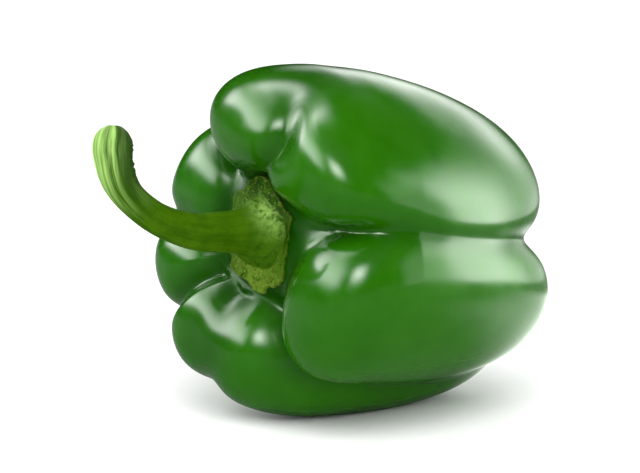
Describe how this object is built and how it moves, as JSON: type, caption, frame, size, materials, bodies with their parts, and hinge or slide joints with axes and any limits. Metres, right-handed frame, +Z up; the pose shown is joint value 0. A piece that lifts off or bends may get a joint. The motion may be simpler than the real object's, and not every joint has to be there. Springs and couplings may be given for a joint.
{
  "type": "bell pepper",
  "caption": "Blocky green bell pepper lying on its side, with deep lobes, a calyx in the hollow and a curved stem.",
  "frame": {"origin": "on the surface the pepper lies on, under the middle of its bounding box", "axes": "+X along the pepper from its stem to its blossom end, +Z up, -Y the near side in the picture"},
  "size_m": [0.124, 0.0898, 0.0941],
  "materials": {
    "skin": "smooth waxy deep green skin with soft bright highlights",
    "stem": "ribbed olive green stem with pale streaks and a corky calyx"
  },
  "bodies": {
    "root": {"fruit": "skin", "stem_with_calyx": "stem"}
  },
  "joints": []
}
